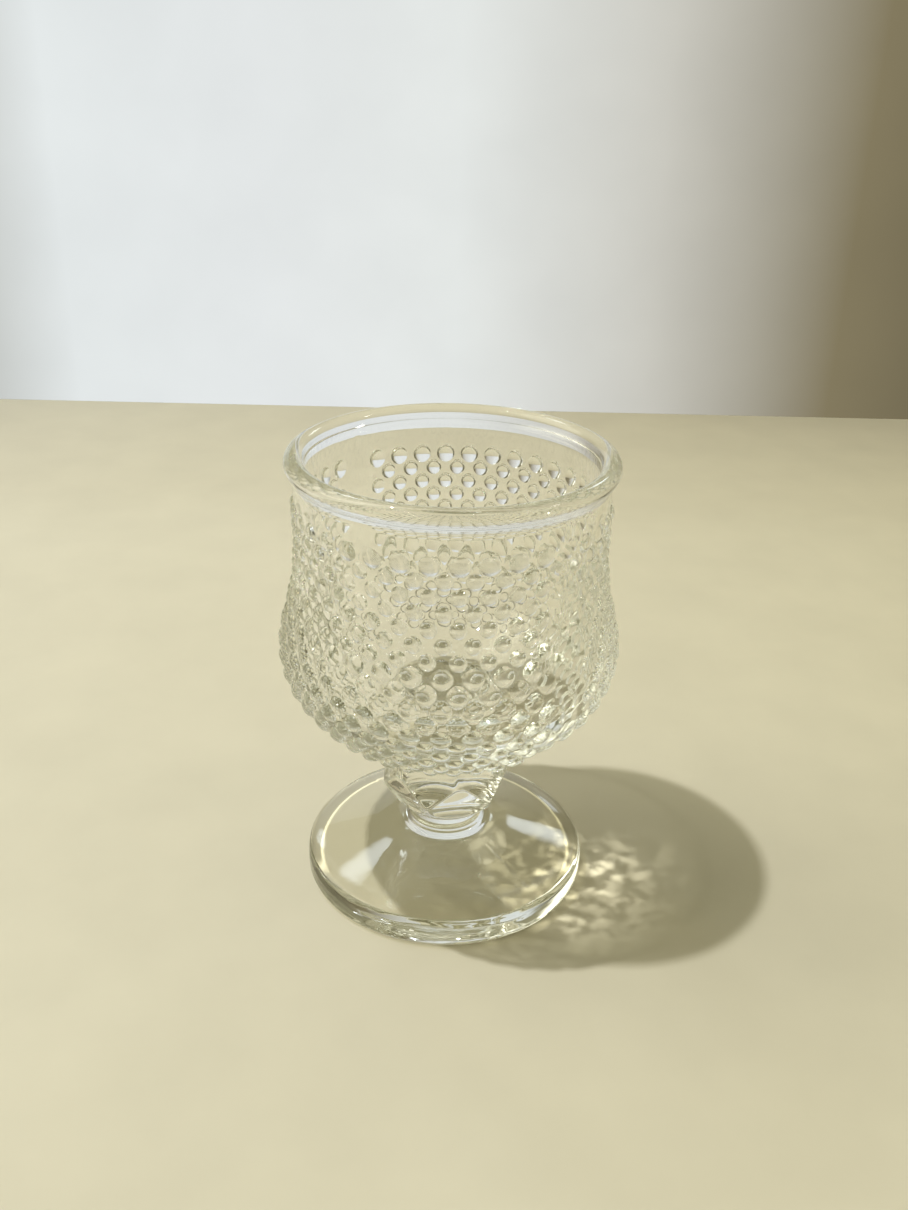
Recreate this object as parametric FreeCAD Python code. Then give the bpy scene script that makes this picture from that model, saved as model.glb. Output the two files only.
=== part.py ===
"""Hobnail shot glass: a footed drinking glass of clear pressed glass, 63.4 mm tall.

The glass is one casting with nothing that moves. It is built here as its formed
sections, seated face to face: the rim bead, the bowl, the rows of hobnails, the
two mould seams, the faceted knop, the neck and the foot. Millimetres, +Z up, and
the origin is at the middle of the foot's resting plane. The front is at -Y.
"""
import FreeCAD
import Part
import math
import os

# ---- foot and stem ----
foot_radius = 20.0
foot_edge_height = 3.9
foot_top_round = 1.6
foot_bottom_round = 1.2
foot_recess_radius = 15.0
foot_recess_depth = 0.9
foot_crown_radius = 8.2
foot_crown_height = 7.35
neck_radius = 4.7
neck_top_height = 10.7

# ---- knop: a barrel with two rows of flat facets ----
knop_height = 9.9
knop_foot_radius = 4.9
knop_base_radius = 6.5
knop_base_height = 0.7
knop_taper = 58.0
knop_barrel_radius = 9.4
knop_barrel_height = 5.2
knop_top_radius = 7.9
facet_count = 6
upper_facet_reach = 8.95
upper_facet_lean = 16.7
upper_facet_height = 4.3
lower_facet_reach = 8.15
lower_facet_lean = 19.8
lower_facet_height = 4.3

# ---- bowl, outside ----
bowl_bottom_height = 18.2
bowl_bottom_radius = 7.3
flare_radius = 9.6
flare_height = 21.3
underside_slope = 28.6
underside_reach = 9.3
belly_radius = 22.35
belly_height = 36.7
belly_turn_below = 5.5
belly_turn_above = 4.2
waist_radius = 19.95
waist_height = 52.5
waist_turn = 8.5
collar_radius = 20.3
rim_seat_height = 60.6

# ---- bowl, inside ----
inner_belly_radius = 17.7
inner_belly_height = 40.0
inner_turn = 8.0
floor_height = 26.2
floor_flat_reach = 11.0
bowl_split_height = 29.5

# ---- rim bead ----
bead_rise = 1.53
bead_radius = 20.0
bead_section_radius = 1.27

# ---- hobnails: staggered rows, the first one nearest the rim ----
row_count = 17
hobnails_per_row = 36
first_row_drop = 4.4
last_row_rise = 8.5
hobnail_height = 0.62
hobnail_gap = 0.09
top_hobnail_diameter = 2.75
upper_hobnail_diameter = 2.2
belly_hobnail_diameter = 2.75
last_upper_row = 7

# ---- the two mould seams, opposite each other ----
seam_azimuth = 43.1
seam_clear_angle = 9.0
seam_width = 0.4
seam_height = 0.12

UP = FreeCAD.Vector(0, 0, 1)
ORIGIN = FreeCAD.Vector(0, 0, 0)


def at(radius, height):
    """A point of the half section, in the XZ plane."""
    return FreeCAD.Vector(radius, 0, height)


def line(start, end):
    return Part.makeLine(start, end)


def curve(*poles):
    """An edge on the Bezier curve of these poles."""
    bezier = Part.BezierCurve()
    bezier.setPoles(list(poles))
    return bezier.toShape()


def turned(edges, angle=360.0):
    """The solid that a closed half section sweeps about the glass's axis."""
    return Part.Face(Part.Wire(edges)).revolve(ORIGIN, UP, angle)


def to_azimuth(shape, azimuth):
    """Turn what is drawn at +X to an azimuth counted from the front, -Y, towards +X."""
    copy = shape.copy()
    copy.rotate(ORIGIN, UP, azimuth - 90.0)
    return copy


def below(height):
    """A block that holds everything of the glass below a height."""
    side = 4.0 * foot_radius
    return Part.makeBox(side, side, side, FreeCAD.Vector(-side / 2, -side / 2, height - side))


def bead_height():
    """The height of the middle of the bead's round section."""
    return rim_seat_height + bead_rise


def outer_outline():
    """The bowl's outside in section, from the rim seat down to the knop."""
    slope = math.radians(underside_slope)
    along = at(math.cos(slope), math.sin(slope))
    rim = at(collar_radius, rim_seat_height)
    waist = at(waist_radius, waist_height)
    belly = at(belly_radius, belly_height)
    flare = at(flare_radius, flare_height)
    bottom = at(bowl_bottom_radius, bowl_bottom_height)
    collar_turn = (rim_seat_height - waist_height) / 3
    flare_turn = (flare_height - bowl_bottom_height) / 3
    collar = curve(rim, rim - UP * collar_turn, waist + UP * collar_turn, waist)
    wall = curve(waist, waist - UP * waist_turn, belly + UP * belly_turn_above, belly)
    underside = curve(belly, belly - UP * belly_turn_below, flare + along * underside_reach, flare)
    fillet = curve(flare, flare - along * flare_turn, bottom + UP * flare_turn, bottom)
    return [collar, wall, underside, fillet]


def bowl_envelope():
    """The bowl as if it were solid glass."""
    axis_top = at(0, rim_seat_height)
    axis_bottom = at(0, bowl_bottom_height)
    closing = [
        line(at(bowl_bottom_radius, bowl_bottom_height), axis_bottom),
        line(axis_bottom, axis_top),
        line(axis_top, at(collar_radius, rim_seat_height)),
    ]
    solid = turned(outer_outline() + closing)
    solid.rotate(ORIGIN, UP, 180.0)
    return solid


def bowl_cavity():
    """The room for the drink: a plain taper on a round bottom."""
    mouth = at(bead_radius - bead_section_radius, rim_seat_height)
    belly = at(inner_belly_radius, inner_belly_height)
    floor = at(0, floor_height)
    axis_top = at(0, rim_seat_height)
    taper = line(mouth, belly)
    round_bottom = curve(belly, belly - UP * inner_turn, floor + at(floor_flat_reach, 0), floor)
    return turned([taper, round_bottom, line(floor, axis_top), line(axis_top, mouth)])


def rim_bead():
    """The fire-polished bead that rounds the mouth, flush with the bowl inside."""
    ring = Part.makeTorus(bead_radius, bead_section_radius, at(0, bead_height()), UP)
    inside = bead_radius - bead_section_radius
    corners = [
        at(inside, rim_seat_height),
        at(collar_radius, rim_seat_height),
        at(collar_radius, bead_height()),
        at(inside, bead_height()),
    ]
    sides = [line(corners[i], corners[(i + 1) % 4]) for i in range(4)]
    return ring.fuse(turned(sides)).cut(below(rim_seat_height)).removeSplitter()


def point_on_outline(distance):
    """The point and outward normal at a distance along the bowl's outline from the rim seat."""
    for edge in outer_outline():
        if distance <= edge.Length:
            break
        distance -= edge.Length
    position = edge.getParameterByLength(min(distance, edge.Length))
    tangent = edge.tangentAt(position)
    return edge.valueAt(position), FreeCAD.Vector(-tangent.z, 0, tangent.x)


def row_pitch():
    """The rows share the wall evenly between the collar and the plain underside."""
    wall = sum(edge.Length for edge in outer_outline()[:3])
    return (wall - first_row_drop - last_row_rise) / (row_count - 1)


def row_distance(row):
    return first_row_drop + (row - 1) * row_pitch()


def hobnail_diameter(row):
    """The chosen size of the row's hobnails, kept clear of the next row's."""
    wanted = belly_hobnail_diameter
    if row == 1:
        wanted = top_hobnail_diameter
    elif row <= last_upper_row:
        wanted = upper_hobnail_diameter
    place, normal = point_on_outline(row_distance(row + 1))
    sideways = place.x * math.pi / hobnails_per_row
    spacing = math.hypot(row_pitch(), sideways)
    return min(wanted, spacing - hobnail_gap, 2 * sideways - hobnail_gap)


def hobnail_azimuths(row):
    """Where the hobnails of a row stand: none of them lies on a mould seam."""
    pitch = 360.0 / hobnails_per_row
    stagger = 0.0 if row % 2 else pitch / 2
    for index in range(hobnails_per_row):
        from_seam = index * pitch + stagger
        nearest = abs((from_seam + 90.0) % 180.0 - 90.0)
        if nearest > seam_clear_angle:
            yield seam_azimuth + from_seam


def hobnail_row(row, envelope):
    """One row of low round domes, each seated on the bowl's wall."""
    place, normal = point_on_outline(row_distance(row))
    half_width = hobnail_diameter(row) / 2
    ball_radius = (half_width ** 2 + hobnail_height ** 2) / (2 * hobnail_height)
    centre = place - normal * (ball_radius - hobnail_height)
    dome = Part.makeSphere(ball_radius, centre, normal).cut(envelope).Solids[0]
    return Part.makeCompound([to_azimuth(dome, azimuth) for azimuth in hobnail_azimuths(row)])


def mould_seams():
    """Two fine ribs down the bowl's wall, where the mould's halves met."""
    step = at(seam_height, 0)
    inner = outer_outline()[:3]
    outer = [edge.translated(step).reversed() for edge in reversed(inner)]
    top = at(collar_radius, rim_seat_height)
    bottom = at(flare_radius, flare_height)
    sweep = math.degrees(seam_width / waist_radius)
    section = [line(top + step, top)] + inner + [line(bottom, bottom + step)] + outer
    rib = turned(section, sweep)
    first = to_azimuth(rib, seam_azimuth - sweep / 2)
    second = to_azimuth(rib, seam_azimuth + 180.0 - sweep / 2)
    return Part.makeCompound([first, second])


def facet_cutter(reach, lean, height, azimuth):
    """A block whose near face is the facet's plane, leaning inwards at its top."""
    side = 4.0 * knop_barrel_radius
    block = Part.makeBox(side, side, side, FreeCAD.Vector(0, -side / 2, -side / 2))
    block.rotate(ORIGIN, FreeCAD.Vector(0, 1, 0), -lean)
    block.translate(at(reach, neck_top_height + height))
    return to_azimuth(block, azimuth)


def knop(envelope):
    """The swelling under the bowl, with an upper and a staggered lower row of facets."""
    foot = at(knop_foot_radius, neck_top_height)
    corner = at(knop_base_radius, neck_top_height)
    base = at(knop_base_radius, neck_top_height + knop_base_height)
    widest = at(knop_barrel_radius, neck_top_height + knop_barrel_height)
    top = at(knop_top_radius, neck_top_height + knop_height)
    axis_top = at(0, neck_top_height + knop_height)
    axis_foot = at(0, neck_top_height)
    turn = (knop_barrel_height - knop_base_height) / 3
    spread = turn * math.tan(math.radians(knop_taper))
    underside = curve(foot, corner, base)
    lower = curve(base, base + at(spread, turn), widest - UP * turn / 2, widest)
    upper = curve(widest, widest + UP * turn, top)
    closing = [line(top, axis_top), line(axis_top, axis_foot), line(axis_foot, foot)]
    solid = turned([underside, lower, upper] + closing)
    for index in range(facet_count):
        azimuth = seam_azimuth + index * 360.0 / facet_count
        solid = solid.cut(facet_cutter(upper_facet_reach, upper_facet_lean, upper_facet_height, azimuth))
        azimuth += 180.0 / facet_count
        solid = solid.cut(facet_cutter(lower_facet_reach, -lower_facet_lean, lower_facet_height, azimuth))
    return solid.cut(envelope)


def neck():
    """The waist of the stem, flared to meet the foot's crown."""
    crown = at(foot_crown_radius, foot_crown_height)
    top = at(neck_radius, neck_top_height)
    sweep_in = curve(crown, at(neck_radius, foot_crown_height), top)
    axis_top = at(0, neck_top_height)
    axis_foot = at(0, foot_crown_height)
    return turned([sweep_in, line(top, axis_top), line(axis_top, axis_foot), line(axis_foot, crown)])


def foot_plate():
    """The round foot: a low cone on a thick rounded edge, hollowed a little beneath."""
    crown = at(foot_crown_radius, foot_crown_height)
    edge_top = at(foot_radius, foot_edge_height)
    edge_foot = at(foot_radius, 0)
    axis_top = at(0, foot_crown_height)
    axis_foot = at(0, 0)
    plate = turned([
        line(axis_top, crown),
        line(crown, edge_top),
        line(edge_top, edge_foot),
        line(edge_foot, axis_foot),
        line(axis_foot, axis_top),
    ])
    rounds = ((foot_edge_height, foot_top_round), (0.0, foot_bottom_round))
    for height, radius in rounds:
        edges = [edge for edge in plate.Edges if rim_circle_at(edge, height)]
        plate = plate.makeFillet(radius, edges)
    ball = (foot_recess_radius ** 2 + foot_recess_depth ** 2) / (2 * foot_recess_depth)
    return plate.cut(Part.makeSphere(ball, at(0, foot_recess_depth - ball)))


def rim_circle_at(edge, height):
    """Whether an edge is the foot's outer circle at this height."""
    box = edge.BoundBox
    flat = box.ZLength < 1e-6 and abs(box.ZMin - height) < 1e-6
    return flat and abs(box.XMax - foot_radius) < 1e-3


def all_parts():
    envelope = bowl_envelope()
    bowl = envelope.cut(bowl_cavity())
    lower_half = below(bowl_split_height)
    parts = {
        "rim_bead": rim_bead(),
        "bowl_wall": bowl.cut(lower_half),
        "bowl_base": bowl.common(lower_half),
        "mould_seams": mould_seams(),
        "knop": knop(envelope),
        "neck": neck(),
        "foot_plate": foot_plate(),
    }
    for row in range(1, row_count + 1):
        parts["hobnail_row_%02d" % row] = hobnail_row(row, envelope)
    return parts


os.makedirs("parts", exist_ok=True)
for name, shape in all_parts().items():
    shape.exportStep("parts/" + name + ".step")
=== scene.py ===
"""The looks of the hobnail shot glass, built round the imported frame.

One closed skin of clear glass stands for all the sections that touch each other, so that
light refracts only where the real glass has a surface. The outlines repeat the sizes of the
solids. Azimuths are counted from the front, -Y, towards +X. Sizes of the glass are in
millimetres until the mesh is written; lights, stage and camera are in metres.
"""
import math
import bpy
import bmesh
from bisect import bisect_left
from mathutils import Matrix, Vector


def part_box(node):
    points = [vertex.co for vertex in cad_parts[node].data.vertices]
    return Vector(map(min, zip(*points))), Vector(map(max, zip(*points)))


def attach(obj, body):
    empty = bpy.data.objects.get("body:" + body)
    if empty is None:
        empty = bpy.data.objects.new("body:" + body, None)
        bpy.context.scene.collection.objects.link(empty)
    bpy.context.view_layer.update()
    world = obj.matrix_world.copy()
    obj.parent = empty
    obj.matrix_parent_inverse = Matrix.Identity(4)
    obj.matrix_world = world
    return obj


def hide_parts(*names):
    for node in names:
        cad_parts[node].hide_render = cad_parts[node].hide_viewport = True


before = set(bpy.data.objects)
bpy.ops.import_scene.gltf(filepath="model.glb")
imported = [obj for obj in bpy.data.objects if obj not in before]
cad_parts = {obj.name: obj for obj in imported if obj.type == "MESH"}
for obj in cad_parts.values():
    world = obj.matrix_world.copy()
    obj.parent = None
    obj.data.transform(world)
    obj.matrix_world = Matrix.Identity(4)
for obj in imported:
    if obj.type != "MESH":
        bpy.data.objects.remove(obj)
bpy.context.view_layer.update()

MM = 0.001


def level(node, corner):
    """The height of a node's lowest (0) or highest (1) corner, in millimetres."""
    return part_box(node)[corner][2] / MM


# ---- sizes shared with the solids ----
FOOT_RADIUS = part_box("foot_plate")[1][0] / MM
FOOT_EDGE_HEIGHT = 3.9
FOOT_TOP_ROUND = 1.6
FOOT_BOTTOM_ROUND = 1.2
RECESS_RADIUS = 15.0
RECESS_DEPTH = 0.9
CROWN_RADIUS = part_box("neck")[1][0] / MM
CROWN_HEIGHT = level("neck", 0)
NECK_RADIUS = 4.7
NECK_TOP = level("neck", 1)
KNOP_FOOT_RADIUS = 4.9
KNOP_BASE_RADIUS = 6.5
KNOP_BASE = NECK_TOP + 0.7
KNOP_TAPER = math.radians(58.0)
KNOP_RADIUS = 9.4
KNOP_WIDEST = NECK_TOP + 5.2
KNOP_TOP = NECK_TOP + 9.9
KNOP_TOP_RADIUS = 7.9
FACETS = 6
UPPER_FACET = {"reach": 8.95, "height": NECK_TOP + 4.3, "lean": 16.7}
LOWER_FACET = {"reach": 8.15, "height": NECK_TOP + 4.3, "lean": -19.8}
BOWL_BOTTOM = level("bowl_base", 0)
BOWL_BOTTOM_RADIUS = 7.3
FLARE = (9.6, 21.3)
UNDERSIDE_SLOPE = math.radians(28.6)
UNDERSIDE_REACH = 9.3
BELLY = (22.35, 36.7)
BELLY_TURN_BELOW = 5.5
BELLY_TURN_ABOVE = 4.2
WAIST = (19.95, 52.5)
WAIST_TURN = 8.5
COLLAR_RADIUS = 20.3
SEAT = level("rim_bead", 0)
BEAD_RADIUS = 20.0
BEAD_SECTION = 1.27
BEAD_HEIGHT = level("rim_bead", 1) - BEAD_SECTION
INNER_BELLY = (17.7, 40.0)
INNER_TURN = 8.0
FLOOR_HEIGHT = 26.2
FLOOR_REACH = 11.0
ROWS = sum(1 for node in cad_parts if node.startswith("hobnail_row"))
PER_ROW = 36
FIRST_ROW_DROP = 4.4
LAST_ROW_RISE = 8.5
HOBNAIL_HEIGHT = 0.62
HOBNAIL_GAP = 0.09
TOP_DIAMETER = 2.75
UPPER_DIAMETER = 2.2
BELLY_DIAMETER = 2.75
LAST_UPPER_ROW = 7
SEAM_AZIMUTH = 43.1
SEAM_WIDTH = 0.4
SEAM_HEIGHT = 0.12

# ---- how finely the outlines are followed, in points ----
BOWL_POINTS = (80, 160, 200)   # the collar, the wall and the underside
FLARE_POINTS = 60
KNOP_POINTS = (60, 80, 30)     # above its widest, below it, and its foot

# ---- how finely the skin is divided ----
STEPS = 8                      # round the glass, for each hobnail
AROUND = PER_ROW * STEPS
PITCH_ANGLE = 2 * math.pi / PER_ROW
DOME_RINGS = (1.0, 0.88, 0.68, 0.4)
CELL_SHARE = 0.95              # of the way to its border that a dome's ring may reach
ZIGZAG_SHARE = 0.93            # of the rows' pitch that a border between them may span
CAVITY_RINGS = 24
TAPER_RINGS = 6
BEAD_RINGS = 20
BEAD_END = -64.0               # degrees, where the bead runs into the collar
COLLAR_START = 0.5
COLLAR_END = 2.3
COLLAR_PACE = 0.6
UNDERSIDE_START = 1.2          # pitches below the last row
UNDERSIDE_PACE = 1.0
STEM_PACE = 0.21
KNOP_FOOT_PACE = 0.12
NECK_RINGS = 22
CONE_RINGS = 6
TOP_ROUND_RINGS = 10
EDGE_RINGS = 4
BOTTOM_ROUND_RINGS = 8
HOLLOW_PACE = 2.0
HOLLOW_END = 1.0               # the radius of the hollow's last ring

# ---- what the mould and the fire left, too fine for the solids ----
HOBNAIL_FADE = (4.0, 13.0)     # degrees from a seam where hobnails start and are whole
FACET_BLEND = 0.18
FLARE_BLEND = 0.5
RIPPLE = 0.07
RIPPLE_PITCH = 0.55
RIPPLE_FADE = 0.5
FOOT_SEAM_HEIGHT = 0.12
FOOT_SEAM_WIDTH = 0.35
STREAK_DEPTH = 0.09
STREAK_PACE = 7.0
STREAK_WAVES = ((1.4, 2, 0.6), (0.8, 7, 0.0), (0.5, 17, 0.0))   # swing, waves round, start

# ---- the glass ----
GLASS_INDEX = 1.5
GLASS_TINT = (0.88, 0.90, 0.80, 1.0)
GLASS_TINT_DENSITY = 14.0
SKIN_WAVES = 220.0
SKIN_DETAIL = 2.0
SKIN_RELIEF = 0.15
SKIN_RELIEF_DEPTH = 0.0002

# ---- painted shadow and caustics: how much light the glass passes on to the table: (millimetres, share) ----
# painted shadow: the share of light let through to the table, set by height rather than by refraction
LIGHT_BY_HEIGHT = (
    (0.0, 0.93), (7.5, 0.93), (10.0, 0.6), (19.0, 0.38), (32.0, 0.36), (50.0, 0.32), (70.0, 0.32),
)
# painted caustic: a bright ring of light under the foot's edge, by radius in millimetres
LIGHT_UNDER_FOOT = ((0.0, 1.0), (17.0, 1.0), (17.4, 2.6), (17.65, 0.8), (20.0, 0.7))
UNDER_FOOT = 0.3               # millimetres up to which a surface counts as the underside
LIGHT_TINT = (1.0, 0.99, 0.94, 1.0)

# ---- painted caustics: bright spots of light painted onto the table through the lower bowl and the top of the knop ----
SPOTS_BY_HEIGHT = (
    (0.0, 0.0), (15.0, 0.0), (18.0, 1.0), (26.0, 1.0), (29.0, 0.6), (36.0, 0.0), (70.0, 0.0),
)
SPOT_STRENGTH = 1.8
SPOT_PATCH = ((-12.0, -7.0), (9.0, 0.0))     # millimetres in X and Y where they start and are full
SPOT_GRAIN = 400.0
SPOT_DETAIL = 3.0
SPOT_SWIRL = 0.8
SPOT_EDGE = (0.45, 0.62)                     # of the noise, where a spot starts and is full

# ---- the stage's colours, with painted light and shade, from the left to the right ----
# painted light falloff: the table lighter on the left and darker to the right
TABLE_PAINTED_FALLOFF_COLOURS = ((0.77, 0.735, 0.62), (0.71, 0.66, 0.49))
TABLE_REACH = 0.15
TABLE_GRAIN = 60.0
# painted light and shade: bright left of the middle, shaded darker towards both ends and most to the
# right
WALL_PAINTED_LIGHT_COLOURS = (
    (0.12, 0.11, 0.07), (0.35, 0.35, 0.30), (0.82, 0.86, 0.86),
    (0.82, 0.85, 0.85), (0.82, 0.85, 0.83), (0.62, 0.61, 0.55),
    (0.24, 0.205, 0.12), (0.14, 0.12, 0.07), (0.10, 0.085, 0.05),
)
WALL_REACH = 0.24
WALL_GRAIN = 30.0
PAINT_ROUGHNESS = 0.75
PAINT_SHEEN = 0.2
PAINT_MOTTLE = 0.12
PAINT_DETAIL = 4.0
STAGE_WIDTH = 3.0
FLOOR_DROP = 0.05 * MM
WALL_CENTRE = (0.0, 0.227, 0.065)
WALL_HEIGHT = 0.13

# ---- the room, seen in and through the glass ----
ROOM_COLOURS = ((0.30, 0.28, 0.18), (0.28, 0.26, 0.16), (0.09, 0.08, 0.04))
# its ceiling, near side and lower part: the axis, where each starts and is full, colour
ROOM_PARTS = (
    ("Z", 0.45, 0.85, (0.34, 0.32, 0.20)),
    ("Y", -0.1, -0.75, (0.13, 0.115, 0.06)),
    ("Z", 0.35, 0.1, (0.17, 0.15, 0.08)),
)
# the windows: azimuth and elevation, degrees off them where they start and are full, light
WINDOWS = (
    (-100.0, 42.0, 30.0, 14.0, (2.6, 2.55, 2.1)),
    (-146.0, 50.0, 6.5, 1.5, (6.0, 6.6, 7.0)),
    (154.0, 31.0, 6.0, 1.5, (5.2, 5.7, 6.0)),
)
# the lamps: azimuth and elevation, distance, size, watts, colour
LAMPS = {
    "key": (-88.0, 69.5, 0.75, 0.02, 3.0, (0.98, 0.98, 0.96)),
    "second": (84.0, 42.0, 0.9, 0.08, 0.25, (1.0, 0.97, 0.9)),
}
LAMP_AIM = (0.0, 0.0, 0.03)

# ---- the camera, 14 cm in front of the glass's axis ----
CAMERA_PLACE = (0.0, -0.141, 0.1112)
CAMERA_DOWN = math.radians(26.27)
CAMERA_YAW = math.radians(0.23)
CAMERA_ROLL = math.radians(1.35)
CAMERA_LENS = 34.97
CAMERA_SENSOR = 36.0
CAMERA_NEAR = 0.005
BOUNCES = 40


# ---------------------------------------------------------------- curves
def bezier(poles, t):
    points = list(poles)
    while len(points) > 1:
        pairs = zip(points, points[1:])
        points = [tuple(a + (b - a) * t for a, b in zip(p, q)) for p, q in pairs]
    return points[0]


def up(point, rise):
    return (point[0], point[1] + rise)


def sampled(poles, count):
    return [bezier(poles, i / count) for i in range(count + 1)]


def spaced(start, end, step):
    """Evenly spaced values from start to end, both included."""
    count = max(round(abs(end - start) / step), 1)
    return [start + (end - start) * i / count for i in range(count + 1)]


def arc(centre, radius, start, end, count):
    """Points on a circular arc of the half section, angles in degrees from outwards."""
    angles = [math.radians(start + (end - start) * i / count) for i in range(count + 1)]
    return [(centre[0] + radius * math.cos(a), centre[1] + radius * math.sin(a)) for a in angles]


def smooth_step(low, high, value):
    t = min(max((value - low) / (high - low), 0.0), 1.0)
    return t * t * (3 - 2 * t)


def soft_min(a, b, blend):
    """The smaller of two values, with the corner between them rounded."""
    h = max(blend - abs(a - b), 0.0) / blend
    return min(a, b) - h * h * blend / 4


def soft_max(a, b, blend):
    return -soft_min(-a, -b, blend)


def ball_radius(half_width, rise):
    """The radius of the ball whose cap has this half width and this rise."""
    return (half_width ** 2 + rise ** 2) / (2 * rise)


class Path:
    """A chain of (radius, height) points that can be read by distance or by height."""

    def __init__(self, points):
        self.points = points
        self.distances = [0.0]
        for p, q in zip(points, points[1:]):
            self.distances.append(self.distances[-1] + math.dist(p, q))
        self.length = self.distances[-1]

    def at(self, distance):
        """The point at a distance, with the outward normal."""
        i = min(max(bisect_left(self.distances, distance), 1), len(self.points) - 1)
        p, q = self.points[i - 1], self.points[i]
        span = self.distances[i] - self.distances[i - 1]
        t = (distance - self.distances[i - 1]) / span
        tangent = ((q[0] - p[0]) / span, (q[1] - p[1]) / span)
        return (p[0] + (q[0] - p[0]) * t, p[1] + (q[1] - p[1]) * t), (-tangent[1], tangent[0])

    def radius_at(self, height):
        """The radius where a path that only falls passes a height."""
        heights = [-p[1] for p in self.points]
        i = min(max(bisect_left(heights, -height), 1), len(self.points) - 1)
        p, q = self.points[i - 1], self.points[i]
        t = (height - p[1]) / (q[1] - p[1])
        return p[0] + (q[0] - p[0]) * t


# ---------------------------------------------------------------- the skin
def azimuth_of(turns):
    """The azimuth, in radians, of a place counted in hobnails from the first mould seam."""
    return math.radians(SEAM_AZIMUTH) + turns * PITCH_ANGLE


def turns_of(azimuth):
    return (azimuth - math.radians(SEAM_AZIMUTH)) / PITCH_ANGLE


def from_seam(turns):
    """Degrees from the nearest mould seam."""
    degrees = turns * 360.0 / PER_ROW
    return abs((degrees + 90.0) % 180.0 - 90.0)


class Skin:
    """Rings of vertices round the axis, joined into one closed mesh."""

    def __init__(self):
        self.vertices = []
        self.faces = []
        self.creases = []
        self.last = None

    def vertex(self, azimuth, radius, height):
        self.vertices.append((radius * math.sin(azimuth), -radius * math.cos(azimuth), height))
        return len(self.vertices) - 1

    def join(self, ring):
        """Bridge this ring to the last one."""
        if self.last is not None:
            for j in range(AROUND):
                k = (j + 1) % AROUND
                self.faces.append((self.last[j], self.last[k], ring[k], ring[j]))
        self.last = ring

    def ring(self, shape):
        """A ring whose (radius, height) is given, or is a function of the azimuth."""
        ring = []
        for j in range(AROUND):
            azimuth = azimuth_of(j / STEPS)
            radius, height = shape(azimuth) if callable(shape) else shape
            ring.append(self.vertex(azimuth, radius, height))
        self.join(ring)

    def rings(self, shapes):
        for shape in shapes:
            self.ring(shape)

    def close(self, height):
        """Close the last ring with a fan onto the axis."""
        middle = self.vertex(0.0, 0.0, height)
        for j in range(AROUND):
            self.faces.append((self.last[j], self.last[(j + 1) % AROUND], middle))

    def close_start(self, height):
        """Close the first ring with a fan onto the axis."""
        middle = self.vertex(0.0, 0.0, height)
        for j in range(AROUND):
            self.faces.append((j, middle, (j + 1) % AROUND))


# ---------------------------------------------------------------- bowl and hobnails
def bowl_outline():
    """The bowl's outside from the rim seat to the flare, as closely spaced points."""
    rim = (COLLAR_RADIUS, SEAT)
    collar_turn = (SEAT - WAIST[1]) / 3
    reach = (FLARE[0] + UNDERSIDE_REACH * math.cos(UNDERSIDE_SLOPE),
             FLARE[1] + UNDERSIDE_REACH * math.sin(UNDERSIDE_SLOPE))
    collar = (rim, up(rim, -collar_turn), up(WAIST, collar_turn), WAIST)
    wall = (WAIST, up(WAIST, -WAIST_TURN), up(BELLY, BELLY_TURN_ABOVE), BELLY)
    underside = (BELLY, up(BELLY, -BELLY_TURN_BELOW), reach, FLARE)
    parts = [sampled(*part) for part in zip((collar, wall, underside), BOWL_POINTS)]
    return parts[0] + parts[1][1:] + parts[2][1:]


BOWL = Path(bowl_outline())
ROW_PITCH = (BOWL.length - FIRST_ROW_DROP - LAST_ROW_RISE) / (ROWS - 1)


def row_distance(row):
    return FIRST_ROW_DROP + (row - 1) * ROW_PITCH


def row_offset(row):
    """Rows are staggered by half a pitch."""
    return 0 if row % 2 else STEPS // 2


def hobnail_diameter(row):
    """The chosen size of the row's hobnails, kept clear of the next row's."""
    wanted = BELLY_DIAMETER
    if row == 1:
        wanted = TOP_DIAMETER
    elif row <= LAST_UPPER_ROW:
        wanted = UPPER_DIAMETER
    place, normal = BOWL.at(row_distance(row + 1))
    sideways = place[0] * PITCH_ANGLE / 2
    spacing = math.hypot(ROW_PITCH, sideways)
    return min(wanted, spacing - HOBNAIL_GAP, 2 * sideways - HOBNAIL_GAP)


def wall_vertex(skin, turns, distance, proud):
    (radius, height), normal = BOWL.at(distance)
    return skin.vertex(azimuth_of(turns), radius + normal[0] * proud, height + normal[1] * proud)


def seam_rib(turns):
    """How far the fine rib of a mould seam stands out of the wall."""
    sideways = math.radians(from_seam(turns)) * WAIST[0]
    return SEAM_HEIGHT * (1 - smooth_step(SEAM_WIDTH / 2, SEAM_WIDTH, sideways))


def collar_ring(distance):
    """A ring of the plain collar, with the seams' ribs."""
    (radius, height), normal = BOWL.at(distance)
    return lambda azimuth: (radius + seam_rib(turns_of(azimuth)), height)


def zigzag(skin, border):
    """The line of vertices between one row's cells and the next row's."""
    middle = FIRST_ROW_DROP + (border - 0.5) * ROW_PITCH
    (radius, height), normal = BOWL.at(middle)
    # how far a corner, which three hobnails share, lies from the middle of each of them
    corner = ball_radius(radius * PITCH_ANGLE / 2, ROW_PITCH)
    swing = min(corner, ZIGZAG_SHARE * ROW_PITCH) - ROW_PITCH / 2
    line = []
    for j in range(AROUND):
        place = (j - row_offset(border)) % STEPS / STEPS
        distance = middle + swing * (1 - 4 * min(place, 1 - place))
        line.append((wall_vertex(skin, j / STEPS, distance, seam_rib(j / STEPS)), distance))
    return line


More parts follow.
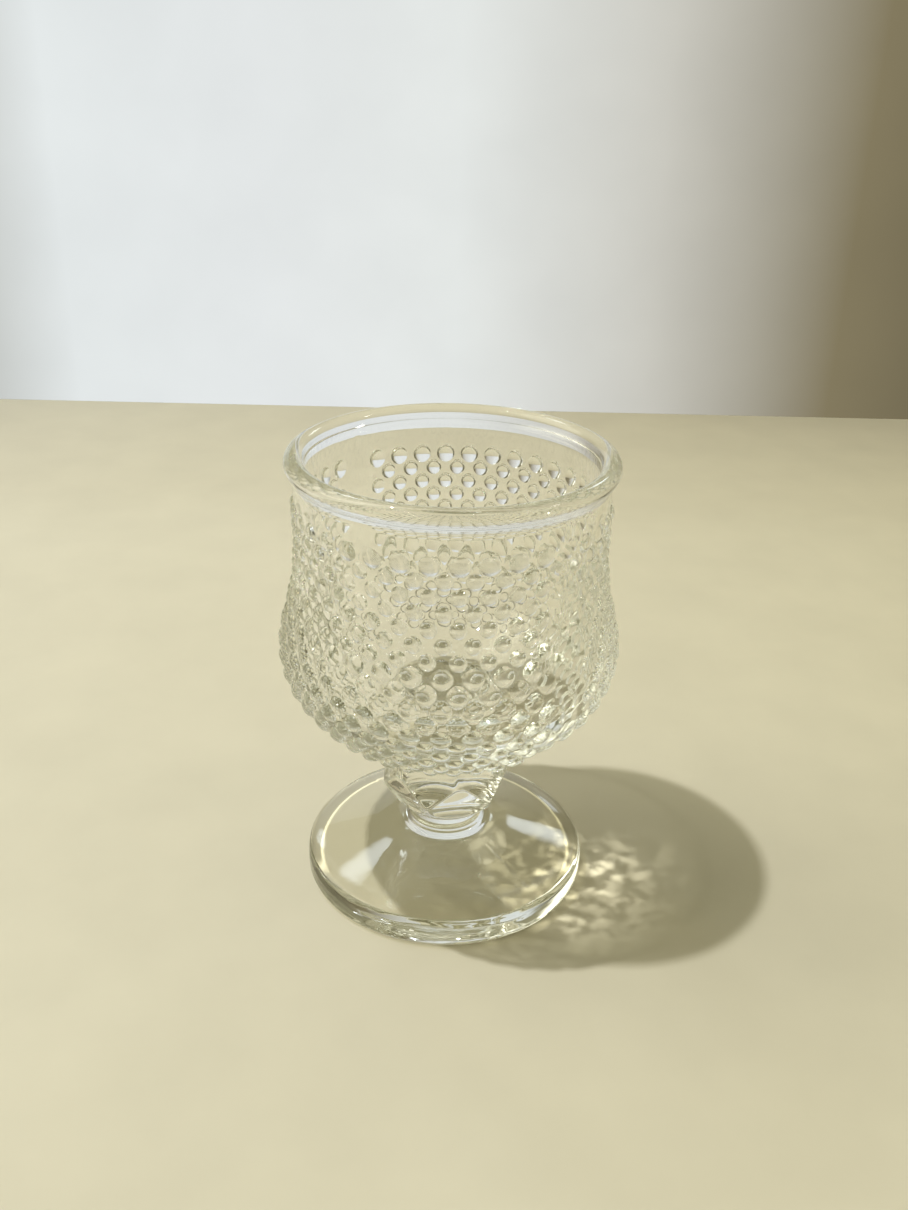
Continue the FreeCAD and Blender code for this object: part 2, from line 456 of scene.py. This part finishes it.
def hobnail_cell(skin, row, turns, border):
    """One dome and the patch of wall round it, inside its border of shared vertices."""
    distance = row_distance(row)
    (radius, height), normal = BOWL.at(distance)
    across = radius * PITCH_ANGLE
    half_width = hobnail_diameter(row) / 2
    ball = ball_radius(half_width, HOBNAIL_HEIGHT)
    size = smooth_step(*HOBNAIL_FADE, from_seam(turns))
    outer = [index for index, place, along in border]
    count = len(border)
    for share in DOME_RINGS:
        inner = []
        for index, place, along in border:
            dx, dy = (place - turns) * across, along - distance
            reach = math.hypot(dx, dy)
            d = min(share * half_width, CELL_SHARE * share * reach)
            proud = max(math.sqrt(ball ** 2 - d ** 2) - (ball - HOBNAIL_HEIGHT), 0.0) * size
            sideways = turns + dx / reach * d / across
            inner.append(wall_vertex(skin, sideways, distance + dy / reach * d, proud))
        for i in range(count):
            k = (i + 1) % count
            skin.faces.append((outer[i], outer[k], inner[k], inner[i]))
        if share == DOME_RINGS[0] and size > 0.0:
            skin.creases += [(inner[i], inner[(i + 1) % count]) for i in range(count)]
        outer = inner
    middle = wall_vertex(skin, turns, distance, HOBNAIL_HEIGHT * size)
    for i in range(count):
        skin.faces.append((outer[i], outer[(i + 1) % count], middle))


def border_part(line, steps):
    """The vertices of a zigzag at these steps, as (index, place, distance)."""
    return [(line[j % AROUND][0], j / STEPS, line[j % AROUND][1]) for j in steps]


def hobnail_wall(skin):
    """The staggered rows, cell by cell, between the collar and the plain underside."""
    above = zigzag(skin, 0)
    skin.join([index for index, distance in above])
    for row in range(1, ROWS + 1):
        below = zigzag(skin, row)
        for k in range(PER_ROW):
            centre = k * STEPS + row_offset(row)
            reach = range(centre - STEPS // 2, centre + STEPS // 2 + 1)
            border = border_part(above, reach) + border_part(below, reversed(reach))
            hobnail_cell(skin, row, centre / STEPS, border)
        above = below
    skin.last = [index for index, distance in above]


# ---------------------------------------------------------------- stem
def flare_path():
    """The bowl's outside from the flare down to the knop."""
    turn = (FLARE[1] - BOWL_BOTTOM) / 3
    out = (FLARE[0] - turn * math.cos(UNDERSIDE_SLOPE), FLARE[1] - turn * math.sin(UNDERSIDE_SLOPE))
    bottom = (BOWL_BOTTOM_RADIUS, BOWL_BOTTOM)
    return Path(sampled((FLARE, out, up(bottom, turn), bottom), FLARE_POINTS))


def knop_path():
    """The knop's barrel from its top down to the neck."""
    turn = (KNOP_WIDEST - KNOP_BASE) / 3
    top = (KNOP_TOP_RADIUS, KNOP_TOP)
    widest = (KNOP_RADIUS, KNOP_WIDEST)
    base = (KNOP_BASE_RADIUS, KNOP_BASE)
    spread = (KNOP_BASE_RADIUS + turn * math.tan(KNOP_TAPER), KNOP_BASE + turn)
    foot = (KNOP_FOOT_RADIUS, NECK_TOP)
    upper = (top, up(widest, turn), widest)
    lower = (widest, up(widest, -turn / 2), spread, base)
    underside = (base, (KNOP_BASE_RADIUS, NECK_TOP), foot)
    parts = [sampled(*part) for part in zip((upper, lower, underside), KNOP_POINTS)]
    return Path(parts[0] + parts[1][1:] + parts[2][1:])


BOWL_FLARE = flare_path()
KNOP_BARREL = knop_path()


def facet_radius(facet, azimuth, height, half_turn):
    """How far out the nearest facet plane of a row lets the knop reach."""
    step = 2 * math.pi / FACETS
    turned = azimuth - math.radians(SEAM_AZIMUTH) - (step / 2 if half_turn else 0.0)
    off = abs((turned + step / 2) % step - step / 2)
    reach = facet["reach"] - math.tan(math.radians(facet["lean"])) * (height - facet["height"])
    return reach / math.cos(off)


def knop_radius(azimuth, height):
    radius = KNOP_BARREL.radius_at(height)
    upper = facet_radius(UPPER_FACET, azimuth, height, False)
    lower = facet_radius(LOWER_FACET, azimuth, height, True)
    return soft_min(radius, soft_min(upper, lower, FACET_BLEND), FACET_BLEND)


def stem_ring(height):
    """A ring of the stem, where the bowl's flare and the knop run into each other."""
    def shape(azimuth):
        radius = knop_radius(azimuth, height)
        if height > BOWL_BOTTOM:
            radius = soft_max(radius, BOWL_FLARE.radius_at(height), FLARE_BLEND)
        return radius, height
    return shape


def neck_outline():
    """The neck from the knop down to the crown of the foot, with its fine ripples."""
    crown = (CROWN_RADIUS, CROWN_HEIGHT)
    path = sampled(((NECK_RADIUS, NECK_TOP), (NECK_RADIUS, CROWN_HEIGHT), crown), NECK_RINGS)
    rippled = []
    for radius, height in path[1:]:
        fade = smooth_step(CROWN_HEIGHT, CROWN_HEIGHT + RIPPLE_FADE, height)
        wave = math.sin(2 * math.pi * height / RIPPLE_PITCH)
        rippled.append((radius + RIPPLE * fade * wave, height))
    return rippled


# ---------------------------------------------------------------- foot and cavity
def foot_outline():
    """The foot in three parts: the cone from its crown, its rounded edge, the hollow beneath."""
    slope = math.atan2(CROWN_HEIGHT - FOOT_EDGE_HEIGHT, FOOT_RADIUS - CROWN_RADIUS)
    lean = math.pi / 2 - slope
    setback = FOOT_TOP_ROUND * math.tan(lean / 2)
    top_centre = (FOOT_RADIUS - FOOT_TOP_ROUND, FOOT_EDGE_HEIGHT - setback)
    top_arc = arc(top_centre, FOOT_TOP_ROUND, math.degrees(lean), 0.0, TOP_ROUND_RINGS)
    crown = (CROWN_RADIUS, CROWN_HEIGHT)
    cone = sampled((crown, top_arc[0]), CONE_RINGS)[1:-1]
    low_centre = (FOOT_RADIUS - FOOT_BOTTOM_ROUND, FOOT_BOTTOM_ROUND)
    low_arc = arc(low_centre, FOOT_BOTTOM_ROUND, 0.0, -90.0, BOTTOM_ROUND_RINGS)
    edge = sampled((top_arc[-1], low_arc[0]), EDGE_RINGS)[1:-1]
    ball = ball_radius(RECESS_RADIUS, RECESS_DEPTH)
    hollow = []
    for radius in spaced(RECESS_RADIUS, HOLLOW_END, HOLLOW_PACE):
        hollow.append((radius, RECESS_DEPTH - ball + math.sqrt(ball ** 2 - radius ** 2)))
    return cone, top_arc + edge + low_arc, hollow


def seamed(point):
    """A ring of the foot's top, which the mould seams cross as a hair line."""
    radius, height = point

    def shape(azimuth):
        sideways = math.radians(from_seam(turns_of(azimuth))) * radius
        return radius, height + FOOT_SEAM_HEIGHT * (1 - smooth_step(0.0, FOOT_SEAM_WIDTH, sideways))
    return shape


def streaked(point):
    """A ring of the foot's edge, with the fine streaks that the mould leaves round it."""
    radius, height = point

    def shape(azimuth):
        wander = sum(swing * math.sin(waves * azimuth + start) for swing, waves, start in STREAK_WAVES)
        return radius - STREAK_DEPTH * (0.5 + 0.5 * math.sin(height * STREAK_PACE + wander)), height
    return shape


def inside_outline():
    """The cavity from the middle of its floor up to the mouth."""
    floor = (0.0, FLOOR_HEIGHT)
    round_bottom = (INNER_BELLY, up(INNER_BELLY, -INNER_TURN), (FLOOR_REACH, FLOOR_HEIGHT), floor)
    bottom = sampled(round_bottom, CAVITY_RINGS)
    mouth = (BEAD_RADIUS - BEAD_SECTION, SEAT)
    wall = sampled((mouth, INNER_BELLY), TAPER_RINGS)
    return list(reversed(wall[1:] + bottom[1:-1]))


# ---------------------------------------------------------------- the whole glass
def glass_skin():
    """The whole glass as one closed surface, from the floor of the cavity round to the foot."""
    skin = Skin()
    skin.rings(inside_outline())
    skin.rings(arc((BEAD_RADIUS, BEAD_HEIGHT), BEAD_SECTION, 180.0, BEAD_END, BEAD_RINGS))
    skin.rings(collar_ring(d) for d in spaced(COLLAR_START, COLLAR_END, COLLAR_PACE))
    hobnail_wall(skin)
    start = row_distance(ROWS) + ROW_PITCH * UNDERSIDE_START
    skin.rings(BOWL.at(d)[0] for d in spaced(start, BOWL.length, UNDERSIDE_PACE)[:-1])
    heights = spaced(FLARE[1], KNOP_BASE, STEM_PACE)
    heights += spaced(KNOP_BASE, NECK_TOP, KNOP_FOOT_PACE)[1:]
    skin.rings(stem_ring(height) for height in heights)
    skin.rings(neck_outline())
    cone, edge, hollow = foot_outline()
    skin.rings(seamed(point) for point in cone)
    skin.rings(streaked(point) for point in edge)
    skin.rings(hollow)
    skin.close(RECESS_DEPTH)
    skin.close_start(FLOOR_HEIGHT)
    return skin


def mesh_object(name, skin):
    mesh = bpy.data.meshes.new(name)
    mesh.from_pydata([Vector(v) * MM for v in skin.vertices], [], skin.faces)
    work = bmesh.new()
    work.from_mesh(mesh)
    bmesh.ops.recalc_face_normals(work, faces=work.faces)
    for face in work.faces:
        face.smooth = True
    work.verts.ensure_lookup_table()
    for start, end in skin.creases:
        work.edges.get((work.verts[start], work.verts[end])).smooth = False
    work.to_mesh(mesh)
    work.free()
    piece = bpy.data.objects.new(name, mesh)
    bpy.context.scene.collection.objects.link(piece)
    return piece


# ---------------------------------------------------------------- shader nodes
class Tree:
    """A node tree, with the few calculations that the materials and the room share."""

    def __init__(self, tree):
        self.nodes = tree.nodes
        self.links = tree.links

    def put(self, socket, value):
        """Set a socket to a value, or link it to the socket that gives the value."""
        if isinstance(value, bpy.types.NodeSocket):
            self.links.new(value, socket)
        else:
            socket.default_value = value

    def node(self, kind, **inputs):
        """A new node. An input's name has underscores where Blender's has spaces."""
        made = self.nodes.new("ShaderNode" + kind)
        for name, value in inputs.items():
            self.put(made.inputs[name.replace("_", " ")], value)
        return made

    def calculate(self, operation, *values):
        """A Math node's result."""
        made = self.nodes.new("ShaderNodeMath")
        made.operation = operation
        for socket, value in zip(made.inputs, values):
            self.put(socket, value)
        return made.outputs["Value"]

    def rise(self, value, start, full):
        """A smooth rise from 0 at one value to 1 at another."""
        made = self.node("MapRange", From_Min=start, From_Max=full)
        made.interpolation_type = "SMOOTHSTEP"
        self.put(made.inputs["Value"], value)
        return made.outputs["Result"]

    def blend(self, kind, factor, first, second):
        """Two colours mixed or multiplied."""
        made = self.nodes.new("ShaderNodeMix")
        made.data_type = "RGBA"
        made.blend_type = kind
        self.put(made.inputs["Factor"], factor)
        self.put(made.inputs["A"], first)
        self.put(made.inputs["B"], second)
        return made.outputs["Result"]

    def ramp(self, value, stops):
        """A colour read off a chain of (position, colour) stops."""
        made = self.node("ValToRGB", Fac=value)
        points = made.color_ramp.elements
        while len(points) < len(stops):
            points.new(0.5)
        for point, (position, colour) in zip(points, stops):
            point.position = position
            point.color = colour
        return made.outputs["Color"]

    def noise(self, place, scale, detail, swirl=0.0):
        """A soft random pattern, from 0 to 1."""
        made = self.node("TexNoise", Vector=place, Scale=scale, Detail=detail, Distortion=swirl)
        return made.outputs["Fac"]

    def axes(self, place):
        """The X, Y and Z of a place."""
        made = self.node("SeparateXYZ", Vector=place)
        return [made.outputs[axis] for axis in "XYZ"]

    def rays(self, *kinds):
        """1 for a ray of any of these kinds, and 0 for others."""
        path = self.node("LightPath")
        seen = path.outputs[kinds[0]]
        for kind in kinds[1:]:
            seen = self.calculate("MAXIMUM", seen, path.outputs[kind])
        return seen

    def surface(self, factor, first, second):
        """The material's surface: the second shader in place of the first, by a factor."""
        made = self.node("MixShader", Fac=factor)
        self.links.new(first, made.inputs[1])
        self.links.new(second, made.inputs[2])
        self.links.new(made.outputs["Shader"], self.nodes["Material Output"].inputs["Surface"])


def material(name):
    made = bpy.data.materials.new(name)
    made.use_nodes = True
    tree = Tree(made.node_tree)
    return made, tree, tree.nodes["Principled BSDF"]


# ---------------------------------------------------------------- glass
def clear_glass():
    """Fire-polished pressed glass: clear, faintly green in the thick, and never quite flat."""
    made, tree, shader = material("clear_glass")
    shader.inputs["Base Color"].default_value = (1.0, 1.0, 1.0, 1.0)
    shader.inputs["Roughness"].default_value = 0.0
    shader.inputs["IOR"].default_value = GLASS_INDEX
    shader.inputs["Transmission Weight"].default_value = 1.0
    place = tree.node("TexCoord").outputs["Object"]
    waves = tree.noise(place, SKIN_WAVES, SKIN_DETAIL)
    relief = tree.node("Bump", Strength=SKIN_RELIEF, Distance=SKIN_RELIEF_DEPTH, Height=waves)
    tree.put(shader.inputs["Normal"], relief.outputs["Normal"])
    tint = tree.nodes.new("ShaderNodeVolumeAbsorption")
    tint.inputs["Color"].default_value = GLASS_TINT
    tint.inputs["Density"].default_value = GLASS_TINT_DENSITY
    tree.put(tree.nodes["Material Output"].inputs["Volume"], tint.outputs["Volume"])
    let_light_through(tree, place, shader)
    return made


def let_light_through(tree, place, shader):
    """Lamps and the room light the table through the glass, with its shadow and caustics painted: a
    painted share of light by height, painted bright spots and a painted bright ring under the foot.
    """
    x, y, z = tree.axes(place)
    spots = painted_caustic_spots(tree, place, x, y, z)
    # painted shadow by height plus painted caustic spots, times the painted caustic ring under the
    # foot
    passed = tree.calculate("ADD", graded(tree, z, LIGHT_BY_HEIGHT), spots)
    passed = tree.calculate("MULTIPLY", passed, painted_foot_caustic(tree, x, y, z))
    tinted = tree.blend("MULTIPLY", 1.0, passed, LIGHT_TINT)
    through = tree.node("BsdfTransparent", Color=tinted)
    lit = tree.rays("Is Shadow Ray", "Is Diffuse Ray")
    tree.surface(lit, shader.outputs["BSDF"], through.outputs["BSDF"])


def graded(tree, value, stops):
    """A share read off (position, share) stops, whose positions are in millimetres."""
    reach = stops[-1][0]
    grey = [(position / reach, (share, share, share, 1.0)) for position, share in stops]
    return tree.ramp(tree.calculate("DIVIDE", value, reach * MM), grey)


def painted_foot_caustic(tree, x, y, z):
    """A painted caustic: a bright ring of light painted into what the foot's underside passes near its
    edge. Elsewhere this is 1.
    """
    squares = [tree.calculate("MULTIPLY", side, side) for side in (x, y)]
    radius = tree.calculate("SQRT", tree.calculate("ADD", *squares))
    ring = graded(tree, radius, LIGHT_UNDER_FOOT)
    under = tree.calculate("LESS_THAN", z, UNDER_FOOT * MM)
    elsewhere = tree.calculate("SUBTRACT", 1.0, under)
    return tree.calculate("ADD", tree.calculate("MULTIPLY", under, ring), elsewhere)


def painted_caustic_spots(tree, place, x, y, z):
    """Painted caustics: bright spots of light painted into the shadow, through the front and right of
    the lower bowl.
    """
    noise = tree.noise(place, SPOT_GRAIN, SPOT_DETAIL, SPOT_SWIRL)
    bright = tree.rise(noise, *SPOT_EDGE)
    bright = tree.calculate("MULTIPLY", bright, graded(tree, z, SPOTS_BY_HEIGHT))
    bright = tree.calculate("MULTIPLY", bright, SPOT_STRENGTH)
    for axis, (start, full) in zip((x, y), SPOT_PATCH):
        bright = tree.calculate("MULTIPLY", bright, tree.rise(axis, start * MM, full * MM))
    return bright


# ---------------------------------------------------------------- stage
def across(tree, x, colours, left, right):
    """A colour that runs from the first to the last of a few, from one X to another."""
    reach = tree.node("MapRange", Value=x, From_Min=left, From_Max=right)
    last = len(colours) - 1
    stops = [(i / last, colour + (1.0,)) for i, colour in enumerate(colours)]
    return tree.ramp(reach.outputs["Result"], stops)


def matt(name, colours, reach, grain):
    """A plain painted surface with a little unevenness, whose colour runs from one to another across
    it as painted light and shade.
    """
    made, tree, shader = material(name)
    shader.inputs["Roughness"].default_value = PAINT_ROUGHNESS
    shader.inputs["Specular IOR Level"].default_value = PAINT_SHEEN
    place = tree.node("TexCoord").outputs["Object"]
    # painted light and shade: the colour runs across X from one end to the other
    colour = across(tree, tree.axes(place)[0], colours, -reach, reach)
    grains = tree.noise(place, grain, PAINT_DETAIL)
    mottled = tree.blend("MULTIPLY", PAINT_MOTTLE, colour, grains)
    tree.put(shader.inputs["Base Color"], mottled)
    return made


def bright_wall(name, colours, reach, grain):
    """A wall that the camera, and the view in and through the glass, see as bright as its colour, with
    the painted light and shade in it glowing too.
    """
    made = matt(name, colours, reach, grain)
    tree = Tree(made.node_tree)
    shader = tree.nodes["Principled BSDF"]
    colour = shader.inputs["Base Color"].links[0].from_socket
    glow = tree.node("Emission", Color=colour)
    seen = tree.rays("Is Camera Ray", "Is Glossy Ray", "Is Transmission Ray")
    tree.surface(seen, shader.outputs["BSDF"], glow.outputs["Emission"])
    return made


def plane(name, centre, width, height, upright, surface):
    """A flat rectangle of the stage, lying or standing."""
    a, b = width / 2, height / 2
    outline = ((-a, -b), (a, -b), (a, b), (-a, b))
    corners = [(x, 0, y) if upright else (x, y, 0) for x, y in outline]
    mesh = bpy.data.meshes.new(name)
    mesh.from_pydata([Vector(c) + Vector(centre) for c in corners], [], [(0, 1, 2, 3)])
    mesh.materials.append(surface)
    made = bpy.data.objects.new(name, mesh)
    bpy.context.scene.collection.objects.link(made)


def bearing(azimuth, elevation):
    """The direction of an azimuth and an elevation in degrees."""
    a, e = math.radians(azimuth), math.radians(elevation)
    return Vector((math.sin(a) * math.cos(e), -math.cos(a) * math.cos(e), math.sin(e)))


def area_lamp(name, azimuth, elevation, distance, size, power, colour):
    """A square lamp at an azimuth and elevation, aimed at the middle of the glass."""
    aim = Vector(LAMP_AIM)
    spot = aim + bearing(azimuth, elevation) * distance
    data = bpy.data.lights.new(name, "AREA")
    data.size = size
    data.energy = power
    data.color = colour
    lamp = bpy.data.objects.new(name, data)
    lamp.location = spot
    lamp.rotation_euler = (aim - spot).to_track_quat("-Z", "Y").to_euler()
    bpy.context.scene.collection.objects.link(lamp)


def room():
    """The soft room round the glass: darker near, below and to the right, with three windows."""
    world = bpy.data.worlds.new("room")
    world.use_nodes = True
    tree = Tree(world.node_tree)
    place = tree.node("TexCoord").outputs["Generated"]
    sides = dict(zip("XYZ", tree.axes(place)))
    colour = across(tree, sides["X"], ROOM_COLOURS, -1.0, 1.0)
    for axis, start, full, part in ROOM_PARTS:
        colour = tree.blend("MIX", tree.rise(sides[axis], start, full), colour, part + (1.0,))
    for azimuth, elevation, start, full, light in WINDOWS:
        toward = tree.nodes.new("ShaderNodeVectorMath")
        toward.operation = "DOT_PRODUCT"
        toward.inputs[1].default_value = bearing(azimuth, elevation)
        tree.links.new(place, toward.inputs[0])
        limits = (math.cos(math.radians(start)), math.cos(math.radians(full)))
        pane = tree.rise(toward.outputs["Value"], *limits)
        colour = tree.blend("MIX", pane, colour, light + (1.0,))
    tree.put(tree.nodes["Background"].inputs["Color"], colour)
    bpy.context.scene.world = world


def stage():
    """A cream table and a pale wall behind it, both with painted light and shade across them, a lamp
    high on the left and a soft room round them.
    """
    table = matt("cream_table_painted_falloff", TABLE_PAINTED_FALLOFF_COLOURS, TABLE_REACH, TABLE_GRAIN)
    plane("floor", (0, 0, -FLOOR_DROP), STAGE_WIDTH, STAGE_WIDTH, False, table)
    wall = bright_wall("white_wall_painted_light", WALL_PAINTED_LIGHT_COLOURS, WALL_REACH, WALL_GRAIN)
    plane("backdrop", WALL_CENTRE, STAGE_WIDTH, WALL_HEIGHT, True, wall)
    for name, lamp in LAMPS.items():
        area_lamp(name, *lamp)
    room()


def camera():
    """A 35 mm camera close to the glass, looking down into the bowl."""
    data = bpy.data.cameras.new("camera")
    data.sensor_fit = "VERTICAL"
    data.sensor_height = CAMERA_SENSOR
    data.lens = CAMERA_LENS
    data.clip_start = CAMERA_NEAR
    made = bpy.data.objects.new("camera", data)
    yaw = Matrix.Rotation(-CAMERA_YAW, 4, "Z")
    tilt = Matrix.Rotation(math.pi / 2 - CAMERA_DOWN, 4, "X")
    roll = Matrix.Rotation(CAMERA_ROLL, 4, "Z")
    made.matrix_world = Matrix.Translation(CAMERA_PLACE) @ yaw @ tilt @ roll
    bpy.context.scene.collection.objects.link(made)
    bpy.context.scene.camera = made


glass = mesh_object("pressed_glass", glass_skin())
glass.data.materials.append(clear_glass())
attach(glass, "root")
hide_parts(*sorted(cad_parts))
stage()
camera()

scene = bpy.context.scene
scene.view_settings.view_transform = "Standard"
scene.cycles.use_guiding = True
scene.cycles.sample_clamp_indirect = 0.0
scene.cycles.max_bounces = BOUNCES
scene.cycles.glossy_bounces = BOUNCES
scene.cycles.transmission_bounces = BOUNCES
